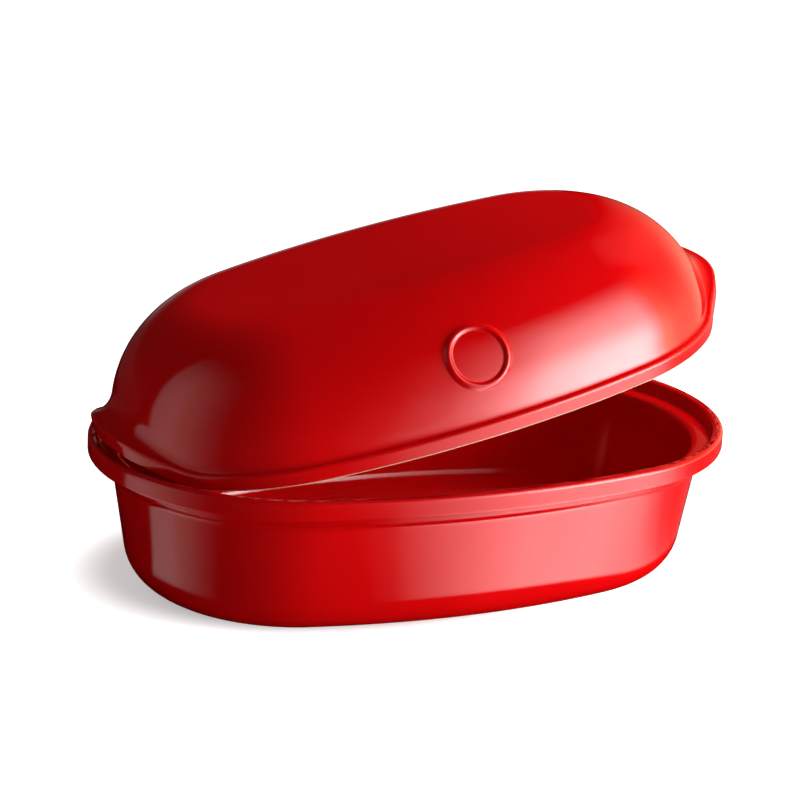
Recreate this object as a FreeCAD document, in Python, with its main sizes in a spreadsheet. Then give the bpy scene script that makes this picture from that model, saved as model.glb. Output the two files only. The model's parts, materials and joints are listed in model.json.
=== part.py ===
import FreeCAD, Part
import math
import os
import Sketcher
from FreeCAD import Vector

# Oval bread cloche of glazed ceramic: a deep dish and a domed lid that tips open on the dish's ledge.
# Millimetres. X runs along the length, Z is up and the dish stands on the plane z = 0.

SIZES = [
    # The oval, drawn at the outer edge of the lip; every other oval is this one moved in or out
    ("half_length", 170.0),
    ("end_radius", 103.0),
    ("side_radius", 427.0),
    # Dish, outside
    ("base_height", 79.2),
    ("band_height", 9.2),
    ("cove_height", 8.5),
    ("cove_width", 11.7),
    ("wall_inset", 11.0),
    ("wall_draft", 9.0),
    ("base_edge_radius", 23.0),
    ("foot_ring_inset", 50.0),
    ("foot_recess", 1.5),
    # Dish, inside
    ("lip_width", 5.6),
    ("lip_round", 2.2),
    ("ledge_drop", 7.2),
    ("ledge_width", 10.4),
    ("ledge_round", 3.0),
    ("cavity_draft", 10.0),
    ("floor_height", 8.0),
    ("cavity_radius", 18.0),
    # Lid
    ("seat_clearance", 0.3),
    ("lid_inset", 10.5),
    ("lid_wall", 6.0),
    ("skirt_height", 6.0),
    ("dome_radius", 62.5),
    ("crown_cut", 1.5),
    ("crown_round", 9.0),
    # Rim band of the lid and the raised grip at each end
    ("rim_projection", 3.5),
    ("rim_height", 8.0),
    ("rim_round", 2.2),
    ("grip_tip_inset", 1.0),
    ("grip_half_width", 35.0),
    ("grip_bow", 4.2),
    ("grip_flank_spread", 25.0),
    ("grip_corner_round", 9.0),
    ("grip_blend", 12.0),
    ("grip_rise", 14.0),
    ("rise_start_inset", 32.0),
    ("rise_end_inset", 11.0),
    ("rise_lead", 2.4),
    ("rise_round", 12.0),
    # Medallion on the front of the lid
    ("medallion_diameter", 33.0),
    ("medallion_proud", 0.9),
    ("medallion_field_diameter", 27.0),
    ("medallion_field_depth", 0.8),
    ("medallion_angle", 31.0),
    # How the lid is tipped
    ("open_angle", 12.0),
    ("tip_axis_inset", 11.6),
    ("tip_axis_above_ledge", 17.0),
]

# How close two places, and two flat things, have to be to count as the same
NEAR = 0.2
FLAT = 0.01


class Size:
    """A number kept together with the sheet formula that gives it."""

    def __init__(self, value, text):
        self.value = value
        self.text = text

    def __add__(self, other):
        other = sized(other)
        return Size(self.value + other.value, f"({self.text} + {other.text})")

    def __sub__(self, other):
        other = sized(other)
        return Size(self.value - other.value, f"({self.text} - {other.text})")

    def __mul__(self, other):
        other = sized(other)
        return Size(self.value * other.value, f"({self.text} * {other.text})")

    def __truediv__(self, other):
        other = sized(other)
        return Size(self.value / other.value, f"({self.text} / {other.text})")

    def __neg__(self):
        return Size(-self.value, f"(-1 * {self.text})")


def sized(number):
    return number if isinstance(number, Size) else Size(float(number), repr(float(number)))


def sine(angle):
    return Size(math.sin(math.radians(angle.value)), f"sin({angle.text} * 1 deg)")


def cosine(angle):
    return Size(math.cos(math.radians(angle.value)), f"cos({angle.text} * 1 deg)")


def root(size):
    return Size(math.sqrt(size.value), f"sqrt({size.text})")


# The document and its sheet of sizes
doc = FreeCAD.newDocument("bread_cloche")
sheet = doc.addObject("Spreadsheet::Sheet", "Sizes")
S = {}
for row, (name, number) in enumerate(SIZES, start=1):
    sheet.set(f"A{row}", name)
    sheet.set(f"B{row}", str(number))
    sheet.setAlias(f"B{row}", name)
    S[name] = Size(number, f"Sizes.{name}")
doc.recompute()

# Sizes that follow from the sheet
end_centre = S["half_length"] - S["end_radius"]
radius_step = S["side_radius"] - S["end_radius"]
side_centre = root(radius_step * radius_step - end_centre * end_centre)
half_width = S["side_radius"] - side_centre
ledge_height = S["base_height"] - S["ledge_drop"]
seat_height = ledge_height + S["seat_clearance"]


def bind(thing, prop, size):
    """Ties a property of an object to a formula of the sheet."""
    thing.setExpression(prop, size.text)


def new_body(name):
    return doc.addObject("PartDesign::Body", name)


def plane_of(body, role):
    return next(f for f in body.Origin.OriginFeatures if f.Role == role)


def new_sketch(body, name, role, height=None):
    """An empty sketch on one of the body's own planes, moved along its normal."""
    sketch = body.newObject("Sketcher::SketchObject", name)
    sketch.AttachmentSupport = [(plane_of(body, role), "")]
    sketch.MapMode = "FlatFace"
    if height is not None:
        bind(sketch, "AttachmentOffset.Base.z", height)
    return sketch


def measure(sketch, kind, size, *where):
    """Adds one dimension to a sketch and ties it to the sheet."""
    index = sketch.addConstraint(Sketcher.Constraint(kind, *where, size.value))
    bind(sketch, f"Constraints[{index}]", size)


def oval_sketch(body, name, inset, height):
    """Four tangent arcs: the lip's oval moved inward by inset."""
    sketch = new_sketch(body, name, "XY_Plane", height)
    end = S["end_radius"] - inset
    side = S["side_radius"] - inset
    lean = math.asin(end_centre.value / radius_step.value)
    up = Vector(0, 0, 1)
    arcs = [
        (Vector(end_centre.value, 0, 0), end, lean - math.pi / 2, math.pi / 2 - lean),
        (Vector(0, -side_centre.value, 0), side, math.pi / 2 - lean, math.pi / 2 + lean),
        (Vector(-end_centre.value, 0, 0), end, math.pi / 2 + lean, 3 * math.pi / 2 - lean),
        (Vector(0, side_centre.value, 0), side, 3 * math.pi / 2 - lean, 3 * math.pi / 2 + lean),
    ]
    for centre, radius, start, stop in arcs:
        sketch.addGeometry(Part.ArcOfCircle(Part.Circle(centre, up, radius.value), start, stop), False)
    for i in range(4):
        sketch.addConstraint(Sketcher.Constraint("Tangent", i, 2, (i + 1) % 4, 1))
    for i, (centre, radius, start, stop) in enumerate(arcs):
        measure(sketch, "Radius", radius, i)
    for i in (0, 2):
        sketch.addConstraint(Sketcher.Constraint("PointOnObject", i, 3, -1))
    measure(sketch, "DistanceX", end_centre, -1, 1, 0, 3)
    measure(sketch, "DistanceX", end_centre, 2, 3, -1, 1)
    return sketch


def outline_sketch(body, name, role, points, height=None, closed=True):
    """Straight lines through points, each coordinate tied to the sheet."""
    sketch = new_sketch(body, name, role, height)
    places = [Vector(x.value, y.value, 0) for x, y in points]
    count = len(points)
    lines = count if closed else count - 1
    for i in range(lines):
        sketch.addGeometry(Part.LineSegment(places[i], places[(i + 1) % count]), False)
    for i in range(count if closed else lines - 1):
        sketch.addConstraint(Sketcher.Constraint("Coincident", i, 2, (i + 1) % count, 1))
    for i, (x, y) in enumerate(points):
        line, end = (i, 1) if i < lines else (i - 1, 2)
        for kind, size in (("DistanceX", x), ("DistanceY", y)):
            if size.value < 0:
                measure(sketch, kind, -size, line, end, -1, 1)
            else:
                measure(sketch, kind, size, -1, 1, line, end)
    return sketch


def add_feature(body, kind, name, sketch, length, reverse=False, both_ways=False, taper=None):
    """A pad or a pocket of a sketch."""
    feature = body.newObject(f"PartDesign::{kind}", name)
    feature.Profile = sketch
    bind(feature, "Length", length)
    if taper is not None:
        bind(feature, "TaperAngle", taper)
    feature.Reversed = reverse
    feature.Midplane = both_ways
    doc.recompute()
    return feature


def inset_of(point):
    """How far inside the lip's outer edge a point lies, seen from above."""
    x = abs(point.x)
    y = abs(point.y)
    across = (x - end_centre.value) * side_centre.value
    if across > y * end_centre.value:
        return S["end_radius"].value - math.hypot(x - end_centre.value, y)
    return S["side_radius"].value - math.hypot(x, y + side_centre.value)


def middle_of(edge):
    return edge.valueAt((edge.FirstParameter + edge.LastParameter) / 2)


def ring_edges(feature, inset, height):
    """The names of the edges that follow the oval at this inset and height."""
    names = []
    for number, edge in enumerate(feature.Shape.Edges, start=1):
        places = [middle_of(edge)] + [v.Point for v in edge.Vertexes]
        if all(abs(p.z - height) < NEAR and abs(inset_of(p) - inset) < NEAR for p in places):
            names.append(f"Edge{number}")
    if not names:
        raise RuntimeError(f"no ring of edges at inset {inset:.2f}, height {height:.2f}")
    return names


def soften(body, name, base, edges, size):
    """Rounds the named edges of a feature."""
    fillet = body.newObject("PartDesign::Fillet", name)
    fillet.Base = (base, edges)
    bind(fillet, "Radius", size)
    doc.recompute()
    return fillet


def lean_walls(body, name, base, faces, neutral, angle, reverse):
    """Leans upright walls about the plane that keeps its outline."""
    draft = body.newObject("PartDesign::Draft", name)
    draft.Base = (base, faces)
    draft.NeutralPlane = (base, [neutral])
    bind(draft, "Angle", angle)
    draft.Reversed = reverse
    doc.recompute()
    return draft


def upright_faces(feature, inset):
    """The names of the upright faces that follow the oval at this inset."""
    names = []
    for number, face in enumerate(feature.Shape.Faces, start=1):
        points = [v.Point for v in face.Vertexes]
        on_oval = all(abs(inset_of(p) - inset) < NEAR for p in points)
        if on_oval and face.Surface.TypeId == "Part::GeomCylinder":
            names.append(f"Face{number}")
    return names


def level_face(feature, height):
    """The name of the flat face at this height."""
    for number, face in enumerate(feature.Shape.Faces, start=1):
        box = face.BoundBox
        if box.ZLength < FLAT and abs(box.ZMin - height) < NEAR:
            return f"Face{number}"
    raise RuntimeError(f"no flat face at height {height:.2f}")


# Dish: a leaning oval wall under a wide lip band
base = new_body("Base")
band_foot = S["base_height"] - S["band_height"]
cove_foot = band_foot - S["cove_height"]
wall = add_feature(base, "Pad", "Wall", oval_sketch(base, "WallOval", S["wall_inset"], sized(0)), band_foot)
wall = lean_walls(base, "WallLean", wall, upright_faces(wall, S["wall_inset"].value),
                  level_face(wall, band_foot.value), S["wall_draft"], True)
foot_inset = S["wall_inset"].value + band_foot.value * math.tan(math.radians(S["wall_draft"].value))
wall = soften(base, "BottomRound", wall, ring_edges(wall, foot_inset, 0.0), S["base_edge_radius"])

# Dish: the lip band with its sloping underside
band = add_feature(base, "Pad", "Band", oval_sketch(base, "BandOval", sized(0), cove_foot),
                   S["band_height"] + S["cove_height"])
cove = base.newObject("PartDesign::Chamfer", "Cove")
cove.Base = (band, ring_edges(band, 0.0, cove_foot.value))
cove.ChamferType = "Two distances"
bind(cove, "Size", S["cove_width"])
bind(cove, "Size2", S["cove_height"])
doc.recompute()

# Dish: the ledge the lid sits on, then the leaning inside
lip = add_feature(base, "Pocket", "Ledge", oval_sketch(base, "LedgeOval", S["lip_width"], S["base_height"]),
                  S["ledge_drop"])
cavity_inset = S["lip_width"] + S["ledge_width"]
cavity = add_feature(base, "Pocket", "Cavity", oval_sketch(base, "CavityOval", cavity_inset, ledge_height),
                     ledge_height - S["floor_height"], taper=-S["cavity_draft"])
cavity_depth = ledge_height.value - S["floor_height"].value
floor_inset = cavity_inset.value + cavity_depth * math.tan(math.radians(S["cavity_draft"].value))
cavity = soften(base, "CavityRound", cavity, ring_edges(cavity, floor_inset, S["floor_height"].value),
                S["cavity_radius"])
cavity = soften(base, "LedgeRound", cavity, ring_edges(cavity, cavity_inset.value, ledge_height.value),
                S["ledge_round"])

# Dish: the foot ring, and the rounded lip
foot = add_feature(base, "Pocket", "FootRecess", oval_sketch(base, "FootOval", S["foot_ring_inset"], sized(0)),
                   S["foot_recess"], reverse=True)
lip_edges = ring_edges(foot, 0.0, S["base_height"].value)
lip_edges += ring_edges(foot, S["lip_width"].value, S["base_height"].value)
soften(base, "LipRound", foot, lip_edges, S["lip_round"])

# Lid: the dome, an oval block with one great rounding whose top is cut off level
dome = new_body("Dome")
dome_top = S["skirt_height"] + S["dome_radius"]
lid_height = dome_top - S["crown_cut"]
block = add_feature(dome, "Pad", "DomeBlock", oval_sketch(dome, "DomeOval", S["lid_inset"], sized(0)), dome_top)
block = soften(dome, "DomeRound", block, ring_edges(block, S["lid_inset"].value, dome_top.value),
               S["dome_radius"])
block = add_feature(dome, "Pocket", "Plateau", oval_sketch(dome, "PlateauOval", sized(0), dome_top),
                    S["crown_cut"])
plateau_rise = S["dome_radius"].value - S["crown_cut"].value
plateau_run = math.sqrt(S["dome_radius"].value ** 2 - plateau_rise ** 2)
plateau_inset = S["lid_inset"].value + S["dome_radius"].value - plateau_run
soften(dome, "CrownRound", block, ring_edges(block, plateau_inset, lid_height.value), S["crown_round"])

# Lid: the hollow, the same shape one wall thickness in
hollow = new_body("Hollow")
hollow_inset = S["lid_inset"] + S["lid_wall"]
hollow_top = lid_height - S["lid_wall"]
hollow_oval = oval_sketch(hollow, "HollowOval", hollow_inset, sized(0))
core = add_feature(hollow, "Pad", "HollowBlock", hollow_oval, hollow_top)
soften(hollow, "HollowRound", core, ring_edges(core, hollow_inset.value, hollow_top.value),
       hollow_top - S["skirt_height"])

# Lid: the rim seen from above, an oval with a grip at each end
rim = new_body("RimPlan")
rim_inset = S["lid_inset"] - S["rim_projection"]
rim_tall = S["grip_rise"] + S["rim_height"]
tip = S["half_length"] - S["grip_tip_inset"]
corner = tip - S["grip_bow"]
grip_half = S["grip_half_width"]
bow_radius = (grip_half * grip_half + S["grip_bow"] * S["grip_bow"]) / (S["grip_bow"] * 2)

# The flanks of a grip spread until they reach the dome's own oval, so the rim always covers their feet
flank_half = grip_half + S["grip_flank_spread"]
dome_end = S["end_radius"] - S["lid_inset"]
flank_end = end_centre + root(dome_end * dome_end - flank_half * flank_half)
rim_pad = add_feature(rim, "Pad", "RimOval", oval_sketch(rim, "RimOvalSketch", rim_inset, sized(0)), rim_tall)


def grip_sketch(name, sign):
    """One grip from above: spreading flanks and a bowed end."""
    sketch = outline_sketch(rim, name, "XY_Plane", [
        (corner * sign, grip_half),
        (flank_end * sign, flank_half),
        (flank_end * sign, -flank_half),
        (corner * sign, -grip_half),
    ], sized(0), closed=False)
    bow = [Vector(corner.value * sign, -grip_half.value, 0), Vector(tip.value * sign, 0, 0),
           Vector(corner.value * sign, grip_half.value, 0)]
    arc = Part.Arc(*bow) if sign > 0 else Part.Arc(*reversed(bow))
    last = sketch.addGeometry(arc, False)
    first_end = 1 if sign > 0 else 2
    sketch.addConstraint(Sketcher.Constraint("Coincident", 2, 2, last, first_end))
    sketch.addConstraint(Sketcher.Constraint("Coincident", 0, 1, last, 3 - first_end))
    measure(sketch, "Radius", bow_radius, last)
    return sketch


for side, sign in (("Right", 1), ("Left", -1)):
    rim_pad = add_feature(rim, "Pad", f"{side}Grip", grip_sketch(f"{side}GripSketch", sign), rim_tall)


def upright_edges(feature, wanted):
    """The names of the upright straight edges at the places that are wanted."""
    names = []
    for number, edge in enumerate(feature.Shape.Edges, start=1):
        box = edge.BoundBox
        if max(box.XLength, box.YLength) < FLAT and wanted(middle_of(edge)):
            names.append(f"Edge{number}")
    return names


def at_corner(place):
    return abs(abs(place.x) - corner.value) < NEAR


def at_blend(place):
    beside_grip = grip_half.value < abs(place.y) < flank_half.value
    return beside_grip and abs(inset_of(place) - rim_inset.value) < NEAR


# Lid: round corners on the grips and hollow blends where they leave the oval
rim_pad = soften(rim, "GripCorners", rim_pad, upright_edges(rim_pad, at_corner), S["grip_corner_round"])
rim_pad = soften(rim, "GripBlend", rim_pad, upright_edges(rim_pad, at_blend), S["grip_blend"])

# Lid: the rim seen from the front, a strip that runs level and climbs to the grips
sheer = new_body("RimRise")
overrun = S["rim_projection"] + S["rim_height"]
low_x = S["half_length"] - S["rise_start_inset"]
high_x = S["half_length"] - S["rise_end_inset"]
far_x = S["half_length"] + overrun
top_low = S["rim_height"]
top_high = S["grip_rise"] + S["rim_height"]
lower = [(far_x, S["grip_rise"]), (high_x, S["grip_rise"]), (low_x, sized(0))]
upper = [(low_x - S["rise_lead"], top_low), (high_x - S["rise_lead"], top_high), (far_x, top_high)]
strip = [(-x, z) for x, z in lower] + [(x, z) for x, z in reversed(lower)]
strip += [(x, z) for x, z in reversed(upper)] + [(-x, z) for x, z in upper]
sheer_pad = add_feature(sheer, "Pad", "RimStrip", outline_sketch(sheer, "RimStripSketch", "XZ_Plane", strip),
                        half_width * 2 + overrun * 2, both_ways=True)
bends = []
for number, edge in enumerate(sheer_pad.Shape.Edges, start=1):
    place = middle_of(edge)
    runs_across = edge.BoundBox.YLength > half_width.value
    if runs_across and abs(place.x) < far_x.value - NEAR:
        bends.append(f"Edge{number}")
soften(sheer, "RimBends", sheer_pad, bends, S["rise_round"])

rim_band = doc.addObject("Part::MultiCommon", "RimBand")
rim_band.Shapes = [rim, sheer]
doc.recompute()

# Lid: rounded outer edges of the rim and the grips
rim_edges = []
for number, edge in enumerate(rim_band.Shape.Edges, start=1):
    edge_box = edge.BoundBox
    upright = max(edge_box.XLength, edge_box.YLength) < FLAT
    across = edge_box.XLength < FLAT and abs(middle_of(edge).x) < corner.value
    if not upright and not across:
        rim_edges.append((number, S["rim_round"].value, S["rim_round"].value))
rim_soft = doc.addObject("Part::Fillet", "RimSoft")
rim_soft.Base = rim_band
rim_soft.Edges = rim_edges
doc.recompute()

# Lid: the bare round medallion on the front
dome_fall = sized(1) - cosine(S["medallion_angle"])
medallion_y = S["lid_inset"] + S["dome_radius"] * dome_fall - half_width
medallion_z = S["skirt_height"] + S["dome_radius"] * sine(S["medallion_angle"])


def medallion_disc(name, diameter, start, depth):
    """A round disc square to the dome at the medallion's place, from start outward."""
    disc = doc.addObject("Part::Cylinder", name)
    bind(disc, "Radius", diameter * 0.5)
    bind(disc, "Height", depth)
    disc.Placement.Rotation = FreeCAD.Rotation(Vector(1, 0, 0), 90 - S["medallion_angle"].value)
    bind(disc, "Placement.Rotation.Angle", sized(90) - S["medallion_angle"])
    bind(disc, "Placement.Base.y", medallion_y - start * cosine(S["medallion_angle"]))
    bind(disc, "Placement.Base.z", medallion_z + start * sine(S["medallion_angle"]))
    return disc


boss = medallion_disc("MedallionBoss", S["medallion_diameter"], -S["lid_wall"] * 0.5,
                      S["lid_wall"] * 0.5 + S["medallion_proud"])
field = medallion_disc("MedallionField", S["medallion_field_diameter"],
                       S["medallion_proud"] - S["medallion_field_depth"], S["lid_wall"])

# Lid: the pieces of form joined, hollowed, and tipped open about the end that stays on the ledge
whole = doc.addObject("Part::MultiFuse", "LidWhole")
whole.Shapes = [dome, rim_soft, boss]
pressed = doc.addObject("Part::Cut", "LidPressed")
pressed.Base = whole
pressed.Tool = field
lid = doc.addObject("Part::Cut", "Lid")
lid.Base = pressed
lid.Tool = hollow
axis_x = S["tip_axis_inset"] - S["half_length"]
axis_z = ledge_height + S["tip_axis_above_ledge"]
turn_cos = cosine(S["open_angle"])
turn_sin = sine(S["open_angle"])
lid.Placement.Rotation = FreeCAD.Rotation(Vector(0, -1, 0), S["open_angle"].value)
bind(lid, "Placement.Rotation.Angle", S["open_angle"])
bind(lid, "Placement.Base.x", axis_x - axis_x * turn_cos - (seat_height - axis_z) * turn_sin)
bind(lid, "Placement.Base.z", axis_z - axis_x * turn_sin + (seat_height - axis_z) * turn_cos)
doc.recompute()

# Checks on every object, then one file for each piece
for thing in doc.Objects:
    if "Invalid" in thing.State or "Error" in thing.State:
        raise RuntimeError(f"{thing.Name} did not build: {thing.State}")
os.makedirs("parts", exist_ok=True)
for node, thing in (("base", base), ("lid", lid)):
    thing.Label = node
    shape = thing.Shape
    if shape.isNull() or not shape.isValid() or len(shape.Solids) != 1:
        raise RuntimeError(f"{node} is not one sound solid")
    shape.exportStep(f"parts/{node}.step")
    box = shape.BoundBox
    print(node, "volume cm3", round(shape.Volume / 1000, 1), "faces", len(shape.Faces),
          "x", round(box.XMin, 1), round(box.XMax, 1), "y", round(box.YMin, 1), round(box.YMax, 1),
          "z", round(box.ZMin, 1), round(box.ZMax, 1))
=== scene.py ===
# %% [markdown]
# # An oval bread cloche in red glazed ceramic
# The real object is two pieces of pressed stoneware under a glossy red glaze: a deep dish with a
# wide lip, and a domed lid that lies loose on a ledge inside that lip. The solids are already made
# and packed, with the lid tipped open on a hinge. They could be shown as they are, but a glaze is a
# mirror and shows every facet. So this lesson dresses them: smooth shells with soft edges, a glaze
# with depth, bare clay where the pieces stand, and a plain studio.

# %% Load the frame
import json
import math

import bmesh
import bpy
from mathutils import Matrix, Vector


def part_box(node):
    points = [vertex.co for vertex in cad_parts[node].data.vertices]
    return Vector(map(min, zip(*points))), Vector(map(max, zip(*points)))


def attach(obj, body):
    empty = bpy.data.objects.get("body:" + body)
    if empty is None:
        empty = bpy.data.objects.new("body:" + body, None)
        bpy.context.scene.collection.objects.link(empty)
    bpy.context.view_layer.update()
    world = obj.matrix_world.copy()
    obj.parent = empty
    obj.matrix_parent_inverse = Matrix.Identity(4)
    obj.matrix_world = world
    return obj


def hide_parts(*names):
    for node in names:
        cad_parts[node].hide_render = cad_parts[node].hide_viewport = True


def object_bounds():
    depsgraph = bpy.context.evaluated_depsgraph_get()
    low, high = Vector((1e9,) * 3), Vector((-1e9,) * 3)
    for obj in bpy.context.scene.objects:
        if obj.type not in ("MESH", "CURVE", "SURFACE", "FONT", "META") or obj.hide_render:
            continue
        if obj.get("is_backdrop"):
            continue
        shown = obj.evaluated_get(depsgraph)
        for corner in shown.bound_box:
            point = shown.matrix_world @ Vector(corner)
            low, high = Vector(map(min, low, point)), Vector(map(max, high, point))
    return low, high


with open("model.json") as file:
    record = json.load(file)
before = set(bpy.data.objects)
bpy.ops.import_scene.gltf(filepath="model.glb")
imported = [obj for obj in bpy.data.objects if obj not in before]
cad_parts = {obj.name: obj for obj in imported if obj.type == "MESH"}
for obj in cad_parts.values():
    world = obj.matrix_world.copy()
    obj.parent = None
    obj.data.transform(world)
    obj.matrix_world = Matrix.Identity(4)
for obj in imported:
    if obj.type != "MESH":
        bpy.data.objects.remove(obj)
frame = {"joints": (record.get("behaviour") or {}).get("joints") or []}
cad_low, cad_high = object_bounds()

# %% [markdown]
# ## The oval that everything follows
# Seen from above, the lip is an oval of four arcs that run smoothly into each other: two tight ones
# at the ends and two flat ones along the sides. Every other outline of the dish and lid is the same
# oval moved in or out by some inset, with the same four centres. A subdivided box could come close,
# but it would never be quite true. So a wall is made as a potter's template makes it: its section
# is drawn once, and the spin operator swings it, first round the centre of one end, then round the
# centre of one side. That is a quarter of the shell, and two mirrors make it whole. Sizes are in
# millimetres here and become metres when a piece is finished.

# %% Sizes of the oval
MM = 0.001
base_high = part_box("base")[1]
half_length = base_high.x / MM
base_height = base_high.z / MM
end_radius = 103.0
side_radius = 427.0
end_centre = half_length - end_radius
side_centre = math.sqrt((side_radius - end_radius) ** 2 - end_centre ** 2)
half_width = side_radius - side_centre
print("lip", round(2 * half_length), "mm long and", round(2 * half_width), "mm wide")

# %% [markdown]
# ## Drawing a section
# A section is a list of corners, each an inset from the lip's outer edge, a height and a rounding.
# The edges could be bevelled on the finished mesh, but then one width would have to suit them all.
# Here each corner is swapped for an arc of its own before anything is swung, and a support point
# just past each end of the arc lets the long flat stretches between keep their own shading under a
# mirror-like glaze.

# %% Round the corners of a section
ARC_STEP = math.radians(7)
SUPPORT = 0.8


def rounded(corners):
    """The section through these (inset, height, radius) corners as a list of points."""
    path = []
    for i, (inset, height, radius) in enumerate(corners):
        here = Vector((inset, height))
        if radius == 0:
            path.append(here)
            continue
        before = Vector(corners[i - 1][:2]) - here
        after = Vector(corners[i + 1][:2]) - here
        half = before.angle(after) / 2
        run = radius / math.tan(half)
        start = here + before.normalized() * run
        stop = here + after.normalized() * run
        inward = (before.normalized() + after.normalized()).normalized()
        centre = here + inward * radius / math.sin(half)
        turn = (start - centre).angle_signed(stop - centre)
        steps = max(2, math.ceil(abs(turn) / ARC_STEP))
        if before.length > run + 2 * SUPPORT:
            path.append(start + before.normalized() * SUPPORT)
        for k in range(steps + 1):
            path.append(centre + Matrix.Rotation(-turn * k / steps, 2) @ (start - centre))
        if after.length > run + 2 * SUPPORT:
            path.append(stop + after.normalized() * SUPPORT)
    return path


sample = rounded([(0, 0, 0), (0, 10, 2), (10, 10, 0)])
print("a square corner with a 2 mm round becomes", len(sample), "points")

# %% [markdown]
# ## The red glaze
# A fired glaze is a clear coloured glass over clay. Up close it isn't one flat red: it pools a
# little, so the tone drifts over hand-sized patches, and its skin is very slightly uneven, which
# makes the edges of a reflection wander. A painted texture could show that, but it would need an
# unwrapped surface and stretch on the double curves. So Noise nodes move the colour by way of a
# Color Ramp and the roughness by way of a Map Range, and two faint Bump nodes at different scales
# bend the reflections. All of it reads Object coordinates, so it stays put on the piece.

# %% Start the glaze
GLASS_IOR = 1.45
GLAZE_SPECULAR = 0.3


def new_material(name):
    """A material with its node tree, its shader and a coordinate node."""
    material = bpy.data.materials.new(name)
    material.use_nodes = True
    tree = material.node_tree
    coords = tree.nodes.new("ShaderNodeTexCoord")
    return material, tree, tree.nodes["Principled BSDF"], coords


GLAZE, tree, shader, coords = new_material("red_glaze")
shader.inputs["IOR"].default_value = GLASS_IOR
shader.inputs["Specular IOR Level"].default_value = GLAZE_SPECULAR
print(GLAZE.name, "starts with", len(tree.nodes), "nodes")

# %% Tone that drifts
TONE_LUMPS, TONE_DETAIL = 9.0, 3.0
RED_TONES = [
    (0.30, (0.56, 0.0010, 0.0020)),
    (0.55, (0.62, 0.0016, 0.0026)),
    (0.80, (0.68, 0.0026, 0.0034)),
]


def noise(tree, coords, lumps, detail):
    """Noise of so many lumps per metre on the object's own coordinates."""
    node = tree.nodes.new("ShaderNodeTexNoise")
    node.inputs["Scale"].default_value = lumps
    node.inputs["Detail"].default_value = detail
    tree.links.new(coords.outputs["Object"], node.inputs["Vector"])
    return node.outputs["Fac"]


def ramp(tree, factor, stops):
    """A colour ramp through (place, colour) stops."""
    node = tree.nodes.new("ShaderNodeValToRGB")
    elements = node.color_ramp.elements
    while len(elements) < len(stops):
        elements.new(0.5)
    for element, (place, colour) in zip(elements, stops):
        element.position = place
        element.color = (*colour, 1)
    tree.links.new(factor, node.inputs["Fac"])
    return node.outputs["Color"]


tone = ramp(tree, noise(tree, coords, TONE_LUMPS, TONE_DETAIL), RED_TONES)
tree.links.new(tone, shader.inputs["Base Color"])
print("the tone drifts over patches of about", round(1 / TONE_LUMPS / MM), "mm")

# %% Uneven gloss
GLOSS_LUMPS, GLOSS_DETAIL = 40.0, 2.0
GLAZE_ROUGHNESS = 0.07, 0.13
UNIT = 0.0, 1.0


def stretch(tree, value, ends, results, smooth=False):
    """A value made to run between two results while it goes from one end to the other."""
    node = tree.nodes.new("ShaderNodeMapRange")
    if smooth:
        node.interpolation_type = "SMOOTHSTEP"
    for name, number in zip(("From Min", "From Max", "To Min", "To Max"), (*ends, *results)):
        node.inputs[name].default_value = number
    tree.links.new(value, node.inputs["Value"])
    return node.outputs["Result"]


gloss = stretch(tree, noise(tree, coords, GLOSS_LUMPS, GLOSS_DETAIL), UNIT, GLAZE_ROUGHNESS)
tree.links.new(gloss, shader.inputs["Roughness"])
print("roughness from", GLAZE_ROUGHNESS[0], "to", GLAZE_ROUGHNESS[1])

# %% Waves and peel in the skin
WAVE_LUMPS, WAVE_DETAIL, WAVE_STRENGTH, WAVE_HEIGHT = 55.0, 1.0, 0.02, 0.002
PEEL_LUMPS, PEEL_DETAIL, PEEL_STRENGTH, PEEL_HEIGHT = 420.0, 2.0, 0.03, 0.0004


def bump(tree, height, strength, distance, below=None):
    """A bump from a height, on top of another one if given."""
    node = tree.nodes.new("ShaderNodeBump")
    node.inputs["Strength"].default_value = strength
    node.inputs["Distance"].default_value = distance
    tree.links.new(height, node.inputs["Height"])
    if below is not None:
        tree.links.new(below, node.inputs["Normal"])
    return node.outputs["Normal"]


wave_noise = noise(tree, coords, WAVE_LUMPS, WAVE_DETAIL)
waves = bump(tree, wave_noise, WAVE_STRENGTH, WAVE_HEIGHT)
peel_noise = noise(tree, coords, PEEL_LUMPS, PEEL_DETAIL)
peel = bump(tree, peel_noise, PEEL_STRENGTH, PEEL_HEIGHT, waves)
tree.links.new(peel, shader.inputs["Normal"])
print(GLAZE.name, "ends with", len(tree.nodes), "nodes")

# %% [markdown]
# ## Bare clay
# The foot the dish stands on and the rim the lid sits on are wiped clean before firing, so that
# they don't stick. They show the clay itself: pale buff, matt and faintly sandy. One flat buff
# could pass on the thin strip under the lid, but the foot ring is clay too, and it is seen when the
# part is turned over. So the clay gets fine noise in its colour and a sandy bump.

# %% Bare clay
CLAY_LUMPS, CLAY_DETAIL = 260.0, 4.0
CLAY_TONES = [(0.35, (0.50, 0.33, 0.21)), (0.70, (0.66, 0.47, 0.32))]
CLAY_ROUGHNESS = 0.85
SAND_LUMPS, SAND_DETAIL, SAND_STRENGTH, SAND_HEIGHT = 1500.0, 3.0, 0.25, 0.0003
CLAY, tree, shader, coords = new_material("bare_clay")
buff = ramp(tree, noise(tree, coords, CLAY_LUMPS, CLAY_DETAIL), CLAY_TONES)
sand = bump(tree, noise(tree, coords, SAND_LUMPS, SAND_DETAIL), SAND_STRENGTH, SAND_HEIGHT)
tree.links.new(buff, shader.inputs["Base Color"])
tree.links.new(sand, shader.inputs["Normal"])
shader.inputs["Roughness"].default_value = CLAY_ROUGHNESS
print(CLAY.name, "has", len(tree.nodes), "nodes")

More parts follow.
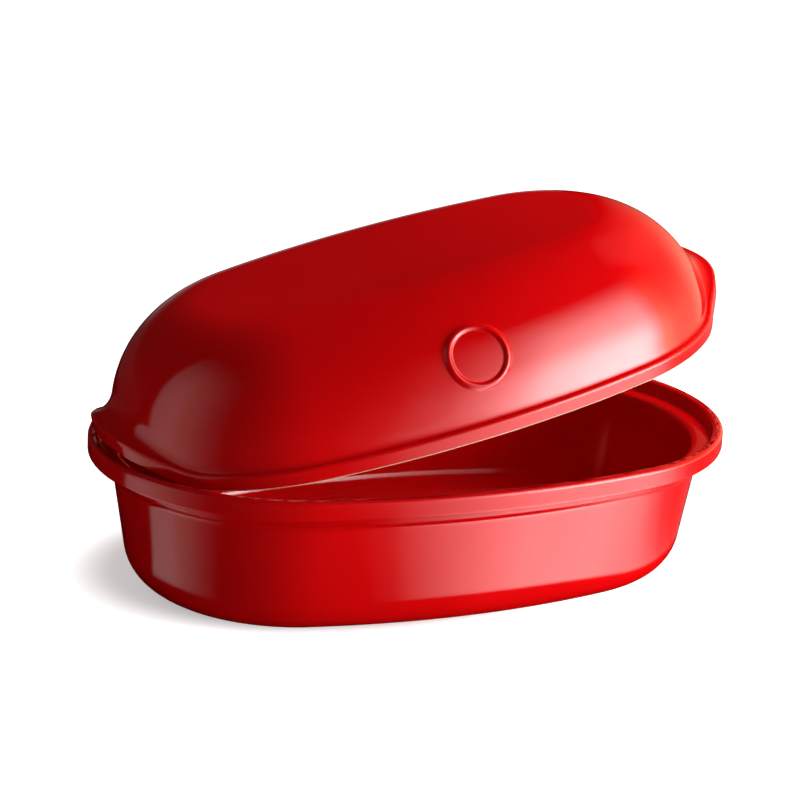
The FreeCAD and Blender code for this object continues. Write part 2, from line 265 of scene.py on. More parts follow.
# %% [markdown]
# ## The dish
# The dish is a deep oval pan with a foot ring, a leaning wall, a lip that stands out over a hollow
# cove, and a ledge inside the lip that carries the lid. It could be cut from solids, as the packed
# model is, but then each edge would have to be found again to round it. As one section it is a
# single line: from under the middle over the foot ring and the big soft bottom edge, up the wall,
# out along the cove, over the lip, down to the ledge and down the inside to the floor.

# %% Heights and insets of the dish
wall_inset = 11.0
wall_slope = math.tan(math.radians(9.0))
band_height = 9.2
band_foot = base_height - band_height
cove_height = 8.5
cove_foot = band_foot - cove_height
ledge_depth = 7.2
ledge_height = base_height - ledge_depth
lip_width = 5.6
lip_draft = 0.6
ledge_width = 10.4
cavity_inset = lip_width + ledge_width
cavity_slope = math.tan(math.radians(10.0))
floor_height = 8.0
foot_ring_inset = 50.0
foot_recess = 1.5
cap_run = 8.0
print("dish", round(base_height, 1), "mm high, ledge at", round(ledge_height, 1), "mm")

# %% Section of the dish
foot_edge_round = 0.6
bottom_round = 23.0
cove_round = 6.0
band_round = 1.8
lip_round = 2.2
ledge_corner_round = 1.6
ledge_edge_round = 3.6
floor_round = 18.0
dish_section = rounded([
    (foot_ring_inset + cap_run, foot_recess, 0),
    (foot_ring_inset, foot_recess, foot_edge_round),
    (foot_ring_inset, 0.0, foot_edge_round),
    (wall_inset + band_foot * wall_slope, 0.0, bottom_round),
    (wall_inset + cove_height * wall_slope, cove_foot, cove_round),
    (0.0, band_foot, band_round),
    (0.0, base_height, lip_round),
    (lip_width, base_height, lip_round),
    (lip_width + lip_draft, ledge_height, ledge_corner_round),
    (cavity_inset, ledge_height, ledge_edge_round),
    (cavity_inset + (ledge_height - floor_height) * cavity_slope, floor_height, floor_round),
    (foot_ring_inset + cap_run, floor_height, 0),
])
print("dish section:", len(dish_section), "points")

# %% Swing a section round a quarter of the oval
END_STEPS = 100
SIDE_STEPS = 16
MERGE = 0.002
lean = math.asin(end_centre / (side_radius - end_radius))
SWINGS = [
    ((end_centre, 0, 0), math.pi / 2 - lean, END_STEPS),
    ((0, -side_centre, 0), lean, SIDE_STEPS),
]


def sweep_quarter(section):
    """A quarter of a shell from one section. Each vertex keeps its station in the section."""
    bm = bmesh.new()
    station = bm.verts.layers.int.new("station")
    ring = [bm.verts.new((half_length - p.x, 0, p.y)) for p in section]
    for i, vert in enumerate(ring):
        vert[station] = i
    geom = ring + [bm.edges.new(pair) for pair in zip(ring, ring[1:])]
    for centre, angle, steps in SWINGS:
        swung = bmesh.ops.spin(bm, geom=geom, cent=centre, axis=(0, 0, 1), angle=angle, steps=steps)
        geom = swung["geom_last"]
    bmesh.ops.remove_doubles(bm, verts=bm.verts, dist=MERGE)
    return bm


dish_shape = sweep_quarter(dish_section)
print("a quarter of the dish:", len(dish_shape.faces), "faces")


# %% Make the quarter whole
def mirror_whole(bm):
    """Makes the other three quarters."""
    for axis in ("X", "Y"):
        geom = bm.verts[:] + bm.edges[:] + bm.faces[:]
        bmesh.ops.mirror(bm, geom=geom, matrix=Matrix.Identity(4), merge_dist=MERGE, axis=axis)


def close_ends(bm):
    """Flat faces over the open ends of a shell, then all faces turned outward."""
    bmesh.ops.holes_fill(bm, edges=[e for e in bm.edges if e.is_boundary], sides=0)
    bmesh.ops.recalc_face_normals(bm, faces=bm.faces)


mirror_whole(dish_shape)
close_ends(dish_shape)
print("open edges left on the dish:", sum(e.is_boundary for e in dish_shape.edges))


# %% Dish
def finish_piece(bm, name, body, materials):
    """Turns a shape in millimetres into a smooth piece that rides on a body."""
    bmesh.ops.scale(bm, vec=(MM, MM, MM), verts=bm.verts)
    mesh = bpy.data.meshes.new(name)
    bm.to_mesh(mesh)
    bm.free()
    mesh.shade_smooth()
    for material in materials:
        mesh.materials.append(material)
    piece = bpy.data.objects.new(name, mesh)
    bpy.context.scene.collection.objects.link(piece)
    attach(piece, body)
    print(name, len(mesh.vertices), "vertices,", len(mesh.polygons), "faces")
    return piece


FOOT_WIPE = 0.4
CLAY_PLACE = 1
for face in dish_shape.faces:
    if face.calc_center_median().z < FOOT_WIPE:
        face.material_index = CLAY_PLACE
dish = finish_piece(dish_shape, "dish_shell", "dish", [GLAZE, CLAY])
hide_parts("base")

# %% [markdown]
# ## The section of the lid
# The lid is one great quarter-round from its upright skirt to a flat top, with a rim band round its
# foot and a small hollow curve where the dome comes down to the band. Its section is drawn in
# pieces that are kept apart by their place in the list: inside, band, hollow curve, dome and crown.
# It could be one list like the dish's, but the grips at the ends need to know which points they may
# move. All lengths are taken on the closed lid, with its foot at zero.

# %% Inside and band of the lid
seat_gap = 0.3
seat = ledge_height + seat_gap
lid_inset = 10.5
lid_wall = 6.0
skirt_height = 6.0
dome_radius = 62.5
crown_cut = 1.5
lid_height = skirt_height + dome_radius - crown_cut
rim_width = 3.5
rim_inset = lid_inset - rim_width
rim_height = 8.0
rim_round = 1.8
foot_round = 1.2
inner_foot_round = 1.5
ceiling_inset = 80.0
HAIR = 0.1
inside = rounded([
    (ceiling_inset, lid_height - lid_wall, 0),
    (lid_inset + lid_wall, lid_height - lid_wall, lid_height - lid_wall - skirt_height),
    (lid_inset + lid_wall, 0.0, inner_foot_round),
    (lid_inset + HAIR, 0.0, 0),
])
band = rounded([
    (lid_inset, 0.0, 0),
    (rim_inset, 0.0, foot_round),
    (rim_inset, rim_height, rim_round),
    (rim_inset + rim_round + 2 * HAIR, rim_height, 0),
])
print("inside", len(inside), "points, band", len(band), "points")


# %% Curves of the lid
def dome_inset(height):
    """Inset of the dome's outside at a height above the lid's foot."""
    rise = height - skirt_height
    return lid_inset + dome_radius - math.sqrt(dome_radius ** 2 - rise ** 2)


def dome_point(angle):
    """Point of the dome's section at an angle above the level of its centre."""
    inset = lid_inset + dome_radius * (1 - math.cos(angle))
    return Vector((inset, skirt_height + dome_radius * math.sin(angle)))


def curve(a, b, c, share):
    """Point on the curve that leaves a towards b and comes into c from b."""
    return a * (1 - share) ** 2 + b * 2 * share * (1 - share) + c * share ** 2


last_angle = math.asin((lid_height - skirt_height) / dome_radius)
print("the dome would meet the flat top at", round(math.degrees(last_angle)), "degrees")

# %% Hollow curve over the band
fillet_height = 3.5
fillet_growth = 0.5
FILLET_STEPS = 16


def fillet_top(lift):
    """Height where the hollow curve meets the dome, above a rim lifted so far."""
    return rim_height + fillet_height + lift * (1 + fillet_growth)


def fillet_ends(crest, lift):
    """The three points that steer the hollow curve from the band's crest up into the dome."""
    top = fillet_top(lift)
    steep = math.asin((top - skirt_height) / dome_radius)
    corner = Vector((dome_inset(top) - (top - crest.y) * math.tan(steep), crest.y))
    return crest, corner, Vector((dome_inset(top), top))


crest_share = [k / FILLET_STEPS for k in range(1, FILLET_STEPS + 1)]
fillet = [curve(*fillet_ends(band[-1], 0.0), share) for share in crest_share]
print("hollow curve from", round(fillet[0].y, 1), "to", round(fillet[-1].y, 1), "mm")

# %% Dome
DOME_STEPS = 44
CROWN_SOFTNESS = 0.17
crown_angle = last_angle - CROWN_SOFTNESS


def dome_angle(share, lift):
    """Angle on the dome's section at a share of the way from the lifted fillet to the crown."""
    first = math.asin((fillet_top(lift) - skirt_height) / dome_radius)
    return first + (crown_angle - first) * share


dome_share = [k / DOME_STEPS for k in range(1, DOME_STEPS + 1)]
dome = [dome_point(dome_angle(share, 0.0)) for share in dome_share]
print("dome from", round(dome[0].y, 1), "to", round(dome[-1].y, 1), "mm")

# %% Crown and whole section
CROWN_STEPS = 14
CROWN_SUPPORT = 2.0
run = (lid_height - dome[-1].y) / math.cos(crown_angle)
crease = Vector((dome[-1].x + run * math.sin(crown_angle), lid_height))
crown_end = crease + Vector((run, 0))
crown = [curve(dome[-1], crease, crown_end, k / CROWN_STEPS) for k in range(1, CROWN_STEPS + 1)]
crown += [crown_end + Vector((CROWN_SUPPORT, 0)), Vector((ceiling_inset, lid_height))]
lid_section = inside + band + fillet + dome + crown
BAND_FROM = len(inside)
FILLET_FROM = BAND_FROM + len(band)
DOME_FROM = FILLET_FROM + len(fillet)
CROWN_FROM = DOME_FROM + len(dome)
flat_from = crown_end.x - lid_inset
print("lid section:", len(lid_section), "points; flat top", round(flat_from, 1), "mm in")

# %% [markdown]
# ## The grips
# At each end of the lid the band climbs clear of the dish's lip and reaches out into a grip for the
# fingers. A grip could be a block of its own joined to the rim, but the real one is the rim itself,
# pressed in one piece. So the shell is first swung round the oval like the dish. Then, by direction
# round the end's centre, the band's points are pushed out and lifted, the hollow curve is drawn
# anew, tangent to the dome, and the dome's points above it slide up to make room.

# %% Reach and rise of the grips
grip_reach = 5.5
grip_rise = 14.0
REACH_ENDS = math.radians(12.0), math.radians(33.0)
RISE_ENDS = math.radians(6.0), math.radians(43.0)


def ease(value, start, stop):
    """Smooth step from 0 at start to 1 at stop."""
    share = min(1.0, max(0.0, (value - start) / (stop - start)))
    return share * share * (3 - 2 * share)


def lifted_band(point, push, lift):
    """A point of the band's section, pushed out and lifted into the grip."""
    reach = min(1.0, (lid_inset - point.x) / (lid_inset - band[-1].x))
    return Vector((point.x - push * reach, point.y + lift))


grip_crest = lifted_band(band[-1], grip_reach, grip_rise)
print("crest of a grip:", round(grip_crest.y, 1), "mm above the lid's foot")


# %% Lift the rim into grips
def raise_rim(bm):
    """Pushes the band of a quarter lid out to the grip and lifts it, and fits the dome above it."""
    station = bm.verts.layers.int["station"]
    centre = Vector((end_centre, 0))
    for vert in bm.verts:
        k = vert[station]
        across = vert.co.x - end_centre
        in_end = across * side_centre > vert.co.y * end_centre
        if k < BAND_FROM or k >= CROWN_FROM or not in_end:
            continue
        angle = math.atan2(vert.co.y, across)
        push = grip_reach * (1 - ease(angle, *REACH_ENDS))
        lift = grip_rise * (1 - ease(angle, *RISE_ENDS))
        if k < FILLET_FROM:
            point = lifted_band(lid_section[k], push, lift)
        elif k < DOME_FROM:
            crest = lifted_band(band[-1], push, lift)
            point = curve(*fillet_ends(crest, lift), crest_share[k - FILLET_FROM])
        else:
            point = dome_point(dome_angle(dome_share[k - DOME_FROM], lift))
        spot = centre + (vert.co.xy - centre).normalized() * (end_radius - point.x)
        vert.co = (spot.x, spot.y, point.y)


lid_shape = sweep_quarter(lid_section)
raise_rim(lid_shape)
print("the lid reaches", round(max(v.co.x for v in lid_shape.verts), 1), "mm from the middle")

# %% [markdown]
# ## The lid, tipped open
# The lid rests on its left end with the other end up. It could be modelled in that place, but when
# closed it is level and even on both sides, which is far easier to draw. So it is finished closed,
# its foot is wiped to bare clay, and it is turned about the hinge by as much as the joint can still
# close.

# %% Tip the lid open about its hinge
hinge = frame["joints"][0]
hinge_place = Vector(hinge["pos_m"]) / MM
open_angle = math.radians(-hinge["range_deg"][0])
open_turn = Matrix.Rotation(open_angle, 3, Vector(hinge["axis"]))


def tip_open(bm):
    """Sets a piece of the closed lid on its seat, then turns it with the lid to its rest."""
    bmesh.ops.translate(bm, vec=(0, 0, seat), verts=bm.verts)
    bmesh.ops.rotate(bm, verts=bm.verts, cent=hinge_place, matrix=open_turn)


print("the lid stands open by", round(math.degrees(open_angle), 1), "degrees")

# %% Lid
SEAT_WIPE = 0.85
mirror_whole(lid_shape)
close_ends(lid_shape)
layer = lid_shape.verts.layers.int["station"]
for face in lid_shape.faces:
    low = all(vert.co.z < SEAT_WIPE for vert in face.verts)
    under = all(vert[layer] < FILLET_FROM for vert in face.verts)
    if low and under:
        face.material_index = CLAY_PLACE
tip_open(lid_shape)
lid = finish_piece(lid_shape, "lid_shell", "lid", [GLAZE, CLAY])
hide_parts("lid")

# %% [markdown]
# ## The medallion
# A round boss stands on the front of the lid, with a raised ring and a bare field inside it. It
# could be pressed into the lid's own mesh, but its fine ring would need far more points than the
# dome around it. So it is a piece of its own: one radius spun into a disc, and every point of the
# disc laid on the dome and lifted by the boss's profile. Its outermost ring dips just under the
# glaze, so the boss grows out of the lid.

# %% Profile of the boss
foot_radius = 18.2
flank_top = 15.2
crest_radius = 14.4
field_radius = 12.9
crest_height = 1.5
field_height = 0.35
foot_sink = 0.25


def boss_height(radius):
    """Height of the boss over the dome at a distance from its middle."""
    ring_rise = (crest_height - field_height) * ease(radius, field_radius, crest_radius)
    fall = ease(radius, flank_top, foot_radius)
    return (field_height + ring_rise) * (1 - fall) - foot_sink * fall


print("boss", 2 * foot_radius, "mm across, ring", boss_height(crest_radius), "mm high")

# %% Lay a point on the dome
front_centre = Vector((0, side_centre))
tube_radius = side_radius - lid_inset - dome_radius


def on_dome(point, height):
    """The point moved straight to the dome's front and lifted off it by height."""
    spoke = point.xy - front_centre
    along = spoke.normalized()
    past = spoke.length - tube_radius
    outward = Vector((along.x * past, along.y * past, point.z - skirt_height))
    foot = front_centre + along * tube_radius
    return Vector((foot.x, foot.y, skirt_height)) + outward.normalized() * (dome_radius + height)


medallion_angle = math.radians(31.0)
middle_inset, middle_height = dome_point(medallion_angle)
middle = Vector((0, middle_inset - half_width, middle_height))
print("middle of the boss is", round((on_dome(middle, 0.0) - middle).length, 3), "mm off the dome")

# %% Medallion
DISC_RINGS = 44
DISC_STEPS = 128
facing = Vector((0, -math.cos(medallion_angle), math.sin(medallion_angle)))
disc = bmesh.new()
radii = [foot_radius * k / DISC_RINGS for k in range(DISC_RINGS + 1)]
spoke_verts = [disc.verts.new(middle + Vector((radius, 0, 0))) for radius in radii]
spoke_edges = [disc.edges.new(pair) for pair in zip(spoke_verts, spoke_verts[1:])]
bmesh.ops.spin(disc, geom=spoke_verts + spoke_edges, cent=middle, axis=facing, angle=2 * math.pi,
               steps=DISC_STEPS, use_merge=True)
bmesh.ops.remove_doubles(disc, verts=disc.verts, dist=MERGE)
for vert in disc.verts:
    vert.co = on_dome(vert.co, boss_height((vert.co - middle).length))
bmesh.ops.recalc_face_normals(disc, faces=disc.faces)
if sum((f.normal for f in disc.faces), Vector()).dot(facing) < 0:
    bmesh.ops.reverse_faces(disc, faces=disc.faces)
tip_open(disc)
finish_piece(disc, "medallion", "lid", [GLAZE])

# %% [markdown]
# ## What the glaze mirrors
# Glossy ware is lit by what it mirrors: here a broad bright light at the right front that dies away
# slowly, and a narrow dim window on the left with one hard edge. Large lamps could give both, but
# they would light the red as well, and the one couldn't be set without the other. So the mirrored
# lights are painted reflections: glowing surfaces that mirrors alone see, with a brightness by
# direction round the table, and the lamps that light the red are kept out of the mirror.

# %% Brightness by direction
HALF_TURN, FULL_TURN = 180, 360
WARM_BLUE = 0.65
LEFT_MIDDLE = (-0.10, -0.04)
LEFT_LIGHT = [
    (-180, 0.13), (-166, 0.05), (-154, 0.006), (-148, 0.0), (150, 0.0), (152, 0.115), (160, 0.15),
    (168, 0.175), (180, 0.13),
]


def glow_round(tree, coords, middle, light, warm_from=HALF_TURN):
    """Brightness round a middle through (degrees, share) stops, with less blue from one on."""
    place = tree.nodes.new("ShaderNodeMapping")
    place.inputs["Location"].default_value = (-middle[0], -middle[1], 0)
    turn = tree.nodes.new("ShaderNodeTexGradient")
    turn.gradient_type = "RADIAL"
    tree.links.new(coords.outputs["Object"], place.inputs["Vector"])
    tree.links.new(place.outputs["Vector"], turn.inputs["Vector"])
    stops = []
    for angle, share in light:
        blue = share * WARM_BLUE if angle >= warm_from else share
        stops.append(((angle + HALF_TURN) / FULL_TURN, (share, share, blue)))
    return ramp(tree, turn.outputs["Fac"], stops)


def brightest(light):
    """Direction of the brightest stop."""
    return max(light, key=lambda stop: stop[1])[0]


print("the left window is brightest at", brightest(LEFT_LIGHT), "degrees")

# %% [markdown]
# ## The table
# The table is matt and pale. For the camera it gets a painted white glow, weaker in an oval beside
# the dish, so that the lamps' shadow shows there and the rest runs away to white. The leaning walls
# of the dish look down into it, and it shows in them as painted reflections: a glow by direction
# that stands for the lights round it, and a painted haze far off on the right. A glossy plane would
# mirror real lights, but it would mirror the dish for the camera too. So the table has one look for
# the camera and one for mirrors, and the Light Path node tells which kind of ray has come.

# %% Start the table
TABLE_GREY = (0.80, 0.80, 0.80, 1)
TABLE_ROUGHNESS = 0.9
TABLE_SPECULAR = 0.0
table_with_painted_light, tree, shader, coords = new_material("pale_table")
shader.inputs["Base Color"].default_value = TABLE_GREY
shader.inputs["Roughness"].default_value = TABLE_ROUGHNESS
shader.inputs["Specular IOR Level"].default_value = TABLE_SPECULAR
plain = shader.outputs["BSDF"]
print(table_with_painted_light.name, "starts as a matt grey of", TABLE_GREY[0])

# %% Painted glow on the table, weaker in an oval beside the dish
SHADE = (-0.02, 0.02), (0.150, 0.100)
SHADE_FADE = 0.86, 1.09
SHADE_LEVEL, WHITE = 0.45, 1.0


def length_of(tree, vector):
    """Length of a vector."""
    node = tree.nodes.new("ShaderNodeVectorMath")
    node.operation = "LENGTH"
    tree.links.new(vector, node.inputs[0])
    return node.outputs["Value"]


def oval_distance(tree, coords, oval):
    """Distance from the middle of an oval on the table, where 1 is its edge."""
    (middle_x, middle_y), (half_x, half_y) = oval
    place = tree.nodes.new("ShaderNodeMapping")
    place.inputs["Location"].default_value = (-middle_x / half_x, -middle_y / half_y, 0)
    place.inputs["Scale"].default_value = (1 / half_x, 1 / half_y, 0)
    tree.links.new(coords.outputs["Object"], place.inputs["Vector"])
    return length_of(tree, place.outputs["Vector"])


# painted glow for the camera: weaker in this oval, so the lamps' shadow shows there, and white
# beyond it
from_shade = oval_distance(tree, coords, SHADE)
painted_glow = stretch(tree, from_shade, SHADE_FADE, (SHADE_LEVEL, WHITE), smooth=True)
print("shade on the table", 2 * SHADE[1][0], "by", 2 * SHADE[1][1], "m")


# %% Table for the camera
def emission(tree, strength, colour=None):
    """A glow as strong as a node says, white unless a colour is given."""
    node = tree.nodes.new("ShaderNodeEmission")
    tree.links.new(strength, node.inputs["Strength"])
    if colour is not None:
        tree.links.new(colour, node.inputs["Color"])
    return node.outputs["Emission"]


def add_shaders(tree, first, second):
    """Both shaders at once."""
    node = tree.nodes.new("ShaderNodeAddShader")
    tree.links.new(first, node.inputs[0])
    tree.links.new(second, node.inputs[1])
    return node.outputs["Shader"]


# the camera sees the matt grey with the painted white glow added
seen_table = add_shaders(tree, plain, emission(tree, painted_glow))
print("the camera sees the table's own light and a glow up to", WHITE)

# %% Painted reflections on the table, seen by mirrors
UNDER_DISH = (0.0, 0.0), (0.172, 0.113)
NEAR_FADE = 0.96, 1.03
TABLE_PEAK = 9.8
RIGHT_MIDDLE = (-0.04, 0.0)
RIGHT_LIGHT = [
    (-96, 0.0), (-88, 0.04), (-71, 0.47), (-54, 0.94), (-39, 0.92), (-30, 0.50), (-24, 0.20),
    (-18, 0.05), (-10, 0.015), (30, 0.010), (60, 0.0),
]
# painted reflection: the table glows by direction for mirrors, as if it mirrored the lights round
# it, and the glow fades out under the dish
reflection_colours = tree.nodes.new("ShaderNodeVectorMath")
reflection_colours.operation = "ADD"
tree.links.new(glow_round(tree, coords, RIGHT_MIDDLE, RIGHT_LIGHT), reflection_colours.inputs[0])
tree.links.new(glow_round(tree, coords, LEFT_MIDDLE, LEFT_LIGHT), reflection_colours.inputs[1])
from_dish = oval_distance(tree, coords, UNDER_DISH)
near = stretch(tree, from_dish, NEAR_FADE, (0.0, TABLE_PEAK), smooth=True)
lights = emission(tree, near, reflection_colours.outputs["Vector"])
print("the table is brightest at", brightest(RIGHT_LIGHT), "degrees")

# %% Painted haze far off on the right, seen by mirrors
FAR_FADE = 0.45, 0.90
SIDE_FADE = -0.1, 0.5
PAINTED_HAZE_LEFT, PAINTED_HAZE_RIGHT = 0.03, 0.30
# painted haze: a faint glow far off on the table for mirrors, stronger to the right
far = stretch(tree, length_of(tree, coords.outputs["Object"]), FAR_FADE, UNIT, smooth=True)
place = tree.nodes.new("ShaderNodeSeparateXYZ")
tree.links.new(coords.outputs["Object"], place.inputs["Vector"])
side = stretch(tree, place.outputs["X"], SIDE_FADE, (PAINTED_HAZE_LEFT, PAINTED_HAZE_RIGHT), smooth=True)
painted_haze = tree.nodes.new("ShaderNodeMath")
painted_haze.operation = "MULTIPLY"
tree.links.new(far, painted_haze.inputs[0])
tree.links.new(side, painted_haze.inputs[1])
painted_table_for_mirrors = add_shaders(tree, lights, emission(tree, painted_haze.outputs["Value"]))
print("haze starts", FAR_FADE[0], "m off and is full at", FAR_FADE[1], "m")


# %% One look for each kind of ray
def ray_kinds(tree):
    """Two switches: 1 for rays by way of a mirror or glass, and 1 for rays from the camera."""
    path = tree.nodes.new("ShaderNodeLightPath")
    by_mirror = tree.nodes.new("ShaderNodeMath")
    by_mirror.operation = "MAXIMUM"
    tree.links.new(path.outputs["Is Glossy Ray"], by_mirror.inputs[0])
    tree.links.new(path.outputs["Is Transmission Ray"], by_mirror.inputs[1])
    return by_mirror.outputs["Value"], path.outputs["Is Camera Ray"]


def mix_shaders(tree, switch, off, on):
    """One shader where the switch is 0 and the other where it is 1."""
    node = tree.nodes.new("ShaderNodeMixShader")
    tree.links.new(switch, node.inputs["Fac"])
    tree.links.new(off, node.inputs[1])
    tree.links.new(on, node.inputs[2])
    return node.outputs["Shader"]


# mirrors see only the painted glows, the camera sees the grey with its painted white glow, other
# rays see the plain grey
by_mirror, by_camera = ray_kinds(tree)
not_mirrored = mix_shaders(tree, by_camera, plain, seen_table)
whole_table = mix_shaders(tree, by_mirror, not_mirrored, painted_table_for_mirrors)
tree.links.new(whole_table, tree.nodes["Material Output"].inputs["Surface"])
print(table_with_painted_light.name, "has", len(tree.nodes), "nodes")

# %% Table
TABLE_SIZE = 6.0
TABLE_DROP = 0.0004


def set_on_stage(bm, name, material):
    """A piece of the studio from a shape in metres."""
    mesh = bpy.data.meshes.new(name)
    bm.to_mesh(mesh)
    bm.free()
    mesh.materials.append(material)
    piece = bpy.data.objects.new(name, mesh)
    bpy.context.scene.collection.objects.link(piece)
    piece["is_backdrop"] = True
    print(name, "on the stage,", len(mesh.polygons), "faces")
    return piece


table_shape = bmesh.new()
bmesh.ops.create_grid(table_shape, x_segments=1, y_segments=1, size=TABLE_SIZE)
bmesh.ops.translate(table_shape, vec=(0, 0, -TABLE_DROP), verts=table_shape.verts)
set_on_stage(table_shape, "table", table_with_painted_light)

# %% [markdown]
# ## Two glowing cloths
# Two upright cloths stand round the table, a large bright one on the right and a small dim one on
# the left. They glow, but only mirrors see them and they light nothing, so they show only as
# painted reflections in the glaze. Each could be a flat panel, but a panel's ends show as hard
# edges in the glaze. A cloth bent round the table, bright by direction and fading upwards, can die
# away as slowly as the highlight on the real lid does, and still have one hard edge on the left.

# %% Glow of the cloths
CLOTH_RADIUS = 0.95
CLOTH_HEIGHT = 1.5
RIGHT_PEAK = 33.0
RIGHT_CLOTH = [
    (-98, 0.0), (-88, 0.010), (-78, 0.07), (-70, 0.23), (-65, 0.40), (-59, 0.76), (-50, 0.98),
    (-42, 1.0), (-34, 0.78), (-28, 0.42), (-22, 0.21), (-12, 0.09), (-5, 0.06), (8, 0.035),
    (26, 0.032), (42, 0.010), (54, 0.0),
]
RIGHT_WARM_FROM = -22
RIGHT_HEIGHT = [(0.0, 1.0), (0.17, 1.0), (0.35, 0.50), (0.62, 0.19), (0.80, 0.05), (0.95, 0.0)]
LEFT_PEAK = 9.8
LEFT_HEIGHT = [(0.0, 1.0), (0.20, 1.0), (0.35, 0.85), (0.50, 0.50), (0.65, 0.17), (0.82, 0.0)]


def glowing_cloth(name, directions, peak, heights):
    """A glowing cloth, brightest in some directions and towards its foot."""
    material, tree, _, coords = new_material(name)
    place = tree.nodes.new("ShaderNodeSeparateXYZ")
    tree.links.new(coords.outputs["Object"], place.inputs["Vector"])
    share = stretch(tree, place.outputs["Z"], (0.0, CLOTH_HEIGHT), UNIT)
    profile = ramp(tree, share, [(stop, (glow, glow, glow)) for stop, glow in heights])
    strength = stretch(tree, profile, UNIT, (0.0, peak))
    glow = emission(tree, strength, glow_round(tree, coords, *directions))
    tree.links.new(glow, tree.nodes["Material Output"].inputs["Surface"])
    return material


# the cloths glow but are kept out of the camera, the diffuse light and the shadows, so they show
# only as painted reflections in the glaze
right_light = glowing_cloth("right_light", (RIGHT_MIDDLE, RIGHT_CLOTH, RIGHT_WARM_FROM), RIGHT_PEAK,
                        RIGHT_HEIGHT)
left_light = glowing_cloth("left_light", (LEFT_MIDDLE, LEFT_LIGHT), LEFT_PEAK, LEFT_HEIGHT)
print("the right cloth is brightest at", brightest(RIGHT_CLOTH), "degrees")

# %% Hang the cloths
CLOTH_STEPS = 48
RIGHT_SPAN = -102, 60
LEFT_SPAN = 145, 212


def hang_cloth(name, span, material):
    """An upright curved cloth round the table between two directions, seen by mirrors alone."""
    start, stop = map(math.radians, span)
    shape = bmesh.new()
    first = Matrix.Rotation(start, 3, "Z") @ Vector((CLOTH_RADIUS, 0, 0))
    ends = [shape.verts.new(first), shape.verts.new(first + Vector((0, 0, CLOTH_HEIGHT)))]
    bmesh.ops.spin(shape, geom=ends + [shape.edges.new(ends)], cent=(0, 0, 0), axis=(0, 0, 1),
                   angle=stop - start, steps=CLOTH_STEPS)
    cloth = set_on_stage(shape, name, material)
    cloth.visible_camera = False
    cloth.visible_diffuse = False
    cloth.visible_transmission = False
    cloth.visible_shadow = False


hang_cloth("right_cloth", RIGHT_SPAN, right_light)
hang_cloth("left_cloth", LEFT_SPAN, left_light)

# %% [markdown]
# ## Lamps
# Two soft lamps give the red its light and dark sides: a broad low one from the right front, and a
# small one from above the right end. A single lamp could do it, but the top of the lid would then
# be as dark as its left side. Both are kept out of the mirror, where the cloths stand for them.

# %% Lamps
AIM = Vector((0.0, 0.0, 0.07))
KEY_LAMP = {"turn": -40.0, "rise": 9.0, "distance": 1.2, "size": 0.6, "power": 20.0}
TOP_LAMP = {"turn": 14.0, "rise": 50.0, "distance": 0.70, "size": 0.3, "power": 3.9}


def panel(name, turn, rise, distance, size, power):
    """A soft square lamp that faces the object from so many degrees round and up."""
    lamp = bpy.data.lights.new(name, "AREA")
    lamp.shape = "SQUARE"
    lamp.size = size
    lamp.energy = power
    turn, rise = math.radians(turn), math.radians(rise)
    flat = Vector((math.cos(turn), math.sin(turn), 0)) * math.cos(rise)
    direction = flat + Vector((0, 0, math.sin(rise)))
    obj = bpy.data.objects.new(name, lamp)
    obj.location = AIM + direction * distance
    obj.rotation_euler = direction.to_track_quat("Z", "Y").to_euler()
    obj.visible_glossy = False
    bpy.context.scene.collection.objects.link(obj)
    print(name, power, "W at", [round(v, 2) for v in obj.location])


panel("key_lamp", **KEY_LAMP)
panel("top_lamp", **TOP_LAMP)

# %% [markdown]
# ## The backdrop
# Behind the table all is white. A white wall could stand there, but it would throw its light on the
# ware and fill the glaze with glare. So the world takes its place, with a Background node for each
# kind of ray: white for the camera, dim for the light that falls on the red, and for mirrors nearly
# dark with a pale haze low on the right.

# %% World
SKY_ABOVE = 0.01
SKY_LEFT = 0.04
SKY_LIGHT = 0.22
SKY_FADE = 0.02, 0.16
world = bpy.data.worlds.new("studio")
bpy.context.scene.world = world
world.use_nodes = True
sky = world.node_tree


def backdrop(strength):
    """A white sky of one strength."""
    node = sky.nodes.new("ShaderNodeBackground")
    node.inputs["Color"].default_value = (1, 1, 1, 1)
    node.inputs["Strength"].default_value = strength
    return node.outputs["Background"]


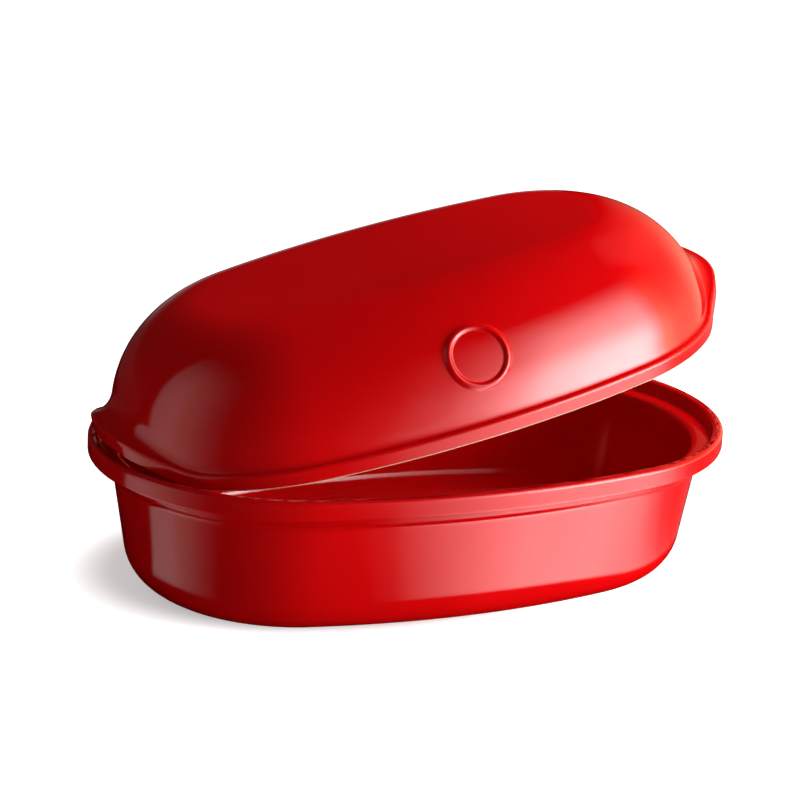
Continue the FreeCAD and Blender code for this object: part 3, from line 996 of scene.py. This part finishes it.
sky_coords = sky.nodes.new("ShaderNodeTexCoord")
sky_place = sky.nodes.new("ShaderNodeSeparateXYZ")
sky.links.new(sky_coords.outputs["Generated"], sky_place.inputs["Vector"])
above = stretch(sky, sky_place.outputs["Z"], SKY_FADE, UNIT, smooth=True)
to_right = stretch(sky, sky_place.outputs["X"], SIDE_FADE, UNIT, smooth=True)
by_mirror, by_camera = ray_kinds(sky)
low_sky = mix_shaders(sky, to_right, backdrop(SKY_LEFT), backdrop(PAINTED_HAZE_RIGHT))
mirrored_sky = mix_shaders(sky, above, low_sky, backdrop(SKY_ABOVE))
unseen_sky = mix_shaders(sky, by_mirror, backdrop(SKY_LIGHT), mirrored_sky)
whole_sky = mix_shaders(sky, by_camera, unseen_sky, backdrop(WHITE))
sky.links.new(whole_sky, sky.nodes["World Output"].inputs["Surface"])
print("world", world.name, "has", len(sky.nodes), "nodes")

# %% [markdown]
# ## The camera
# The camera stands a little to the left of the front and looks down on the dish through a long
# lens. It could be placed by eye, but a few degrees already change the oval of the lip. So its
# place was found by fitting that oval to the picture, and it is set here by its turn, drop and
# roll.

# %% Direction of view
view_turn = math.radians(23.99)
view_drop = math.radians(17.81)
view_roll = math.radians(2.96)
look = Vector((math.sin(view_turn) * math.cos(view_drop), math.cos(view_turn) * math.cos(view_drop),
               -math.sin(view_drop)))
level = Vector((math.cos(view_turn), -math.sin(view_turn), 0))
over = level.cross(look)
right = level * math.cos(view_roll) + over * math.sin(view_roll)
up = over * math.cos(view_roll) - level * math.sin(view_roll)
print("looking along", [round(v, 3) for v in look])

# %% Camera
IMAGE_WIDTH = 800
SENSOR_WIDTH = 36.0
view_distance = 1.3395
focal_pixels = 2568.8
aim_height = 0.060
aim_side, aim_up = -0.0053, 0.0299
lens = bpy.data.cameras.new("camera")
lens.sensor_width = SENSOR_WIDTH
lens.lens = focal_pixels / IMAGE_WIDTH * SENSOR_WIDTH
camera = bpy.data.objects.new("camera", lens)
target = Vector((0, 0, aim_height)) + right * aim_side + up * aim_up
turn = Matrix((right, up, -look)).transposed().to_4x4()
camera.matrix_world = Matrix.Translation(target - look * view_distance) @ turn
bpy.context.scene.collection.objects.link(camera)
bpy.context.scene.camera = camera
bpy.context.scene.view_settings.view_transform = "Standard"
print("lens", round(lens.lens, 1), "mm at", [round(v, 3) for v in camera.matrix_world.translation])

# %% [markdown]
# ## Sizes
# The dressed cloche has to stay inside the box of the solids. It could be judged by eye, but a
# shell that stands out by half a millimetre doesn't show. So both boxes are measured and kept.

# %% Sizes of the solids and of the dressed object
low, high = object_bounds()
solid_size, dressed_size = cad_high - cad_low, high - low
print("solids", [round(v, 4) for v in solid_size], "dressed", [round(v, 4) for v in dressed_size])
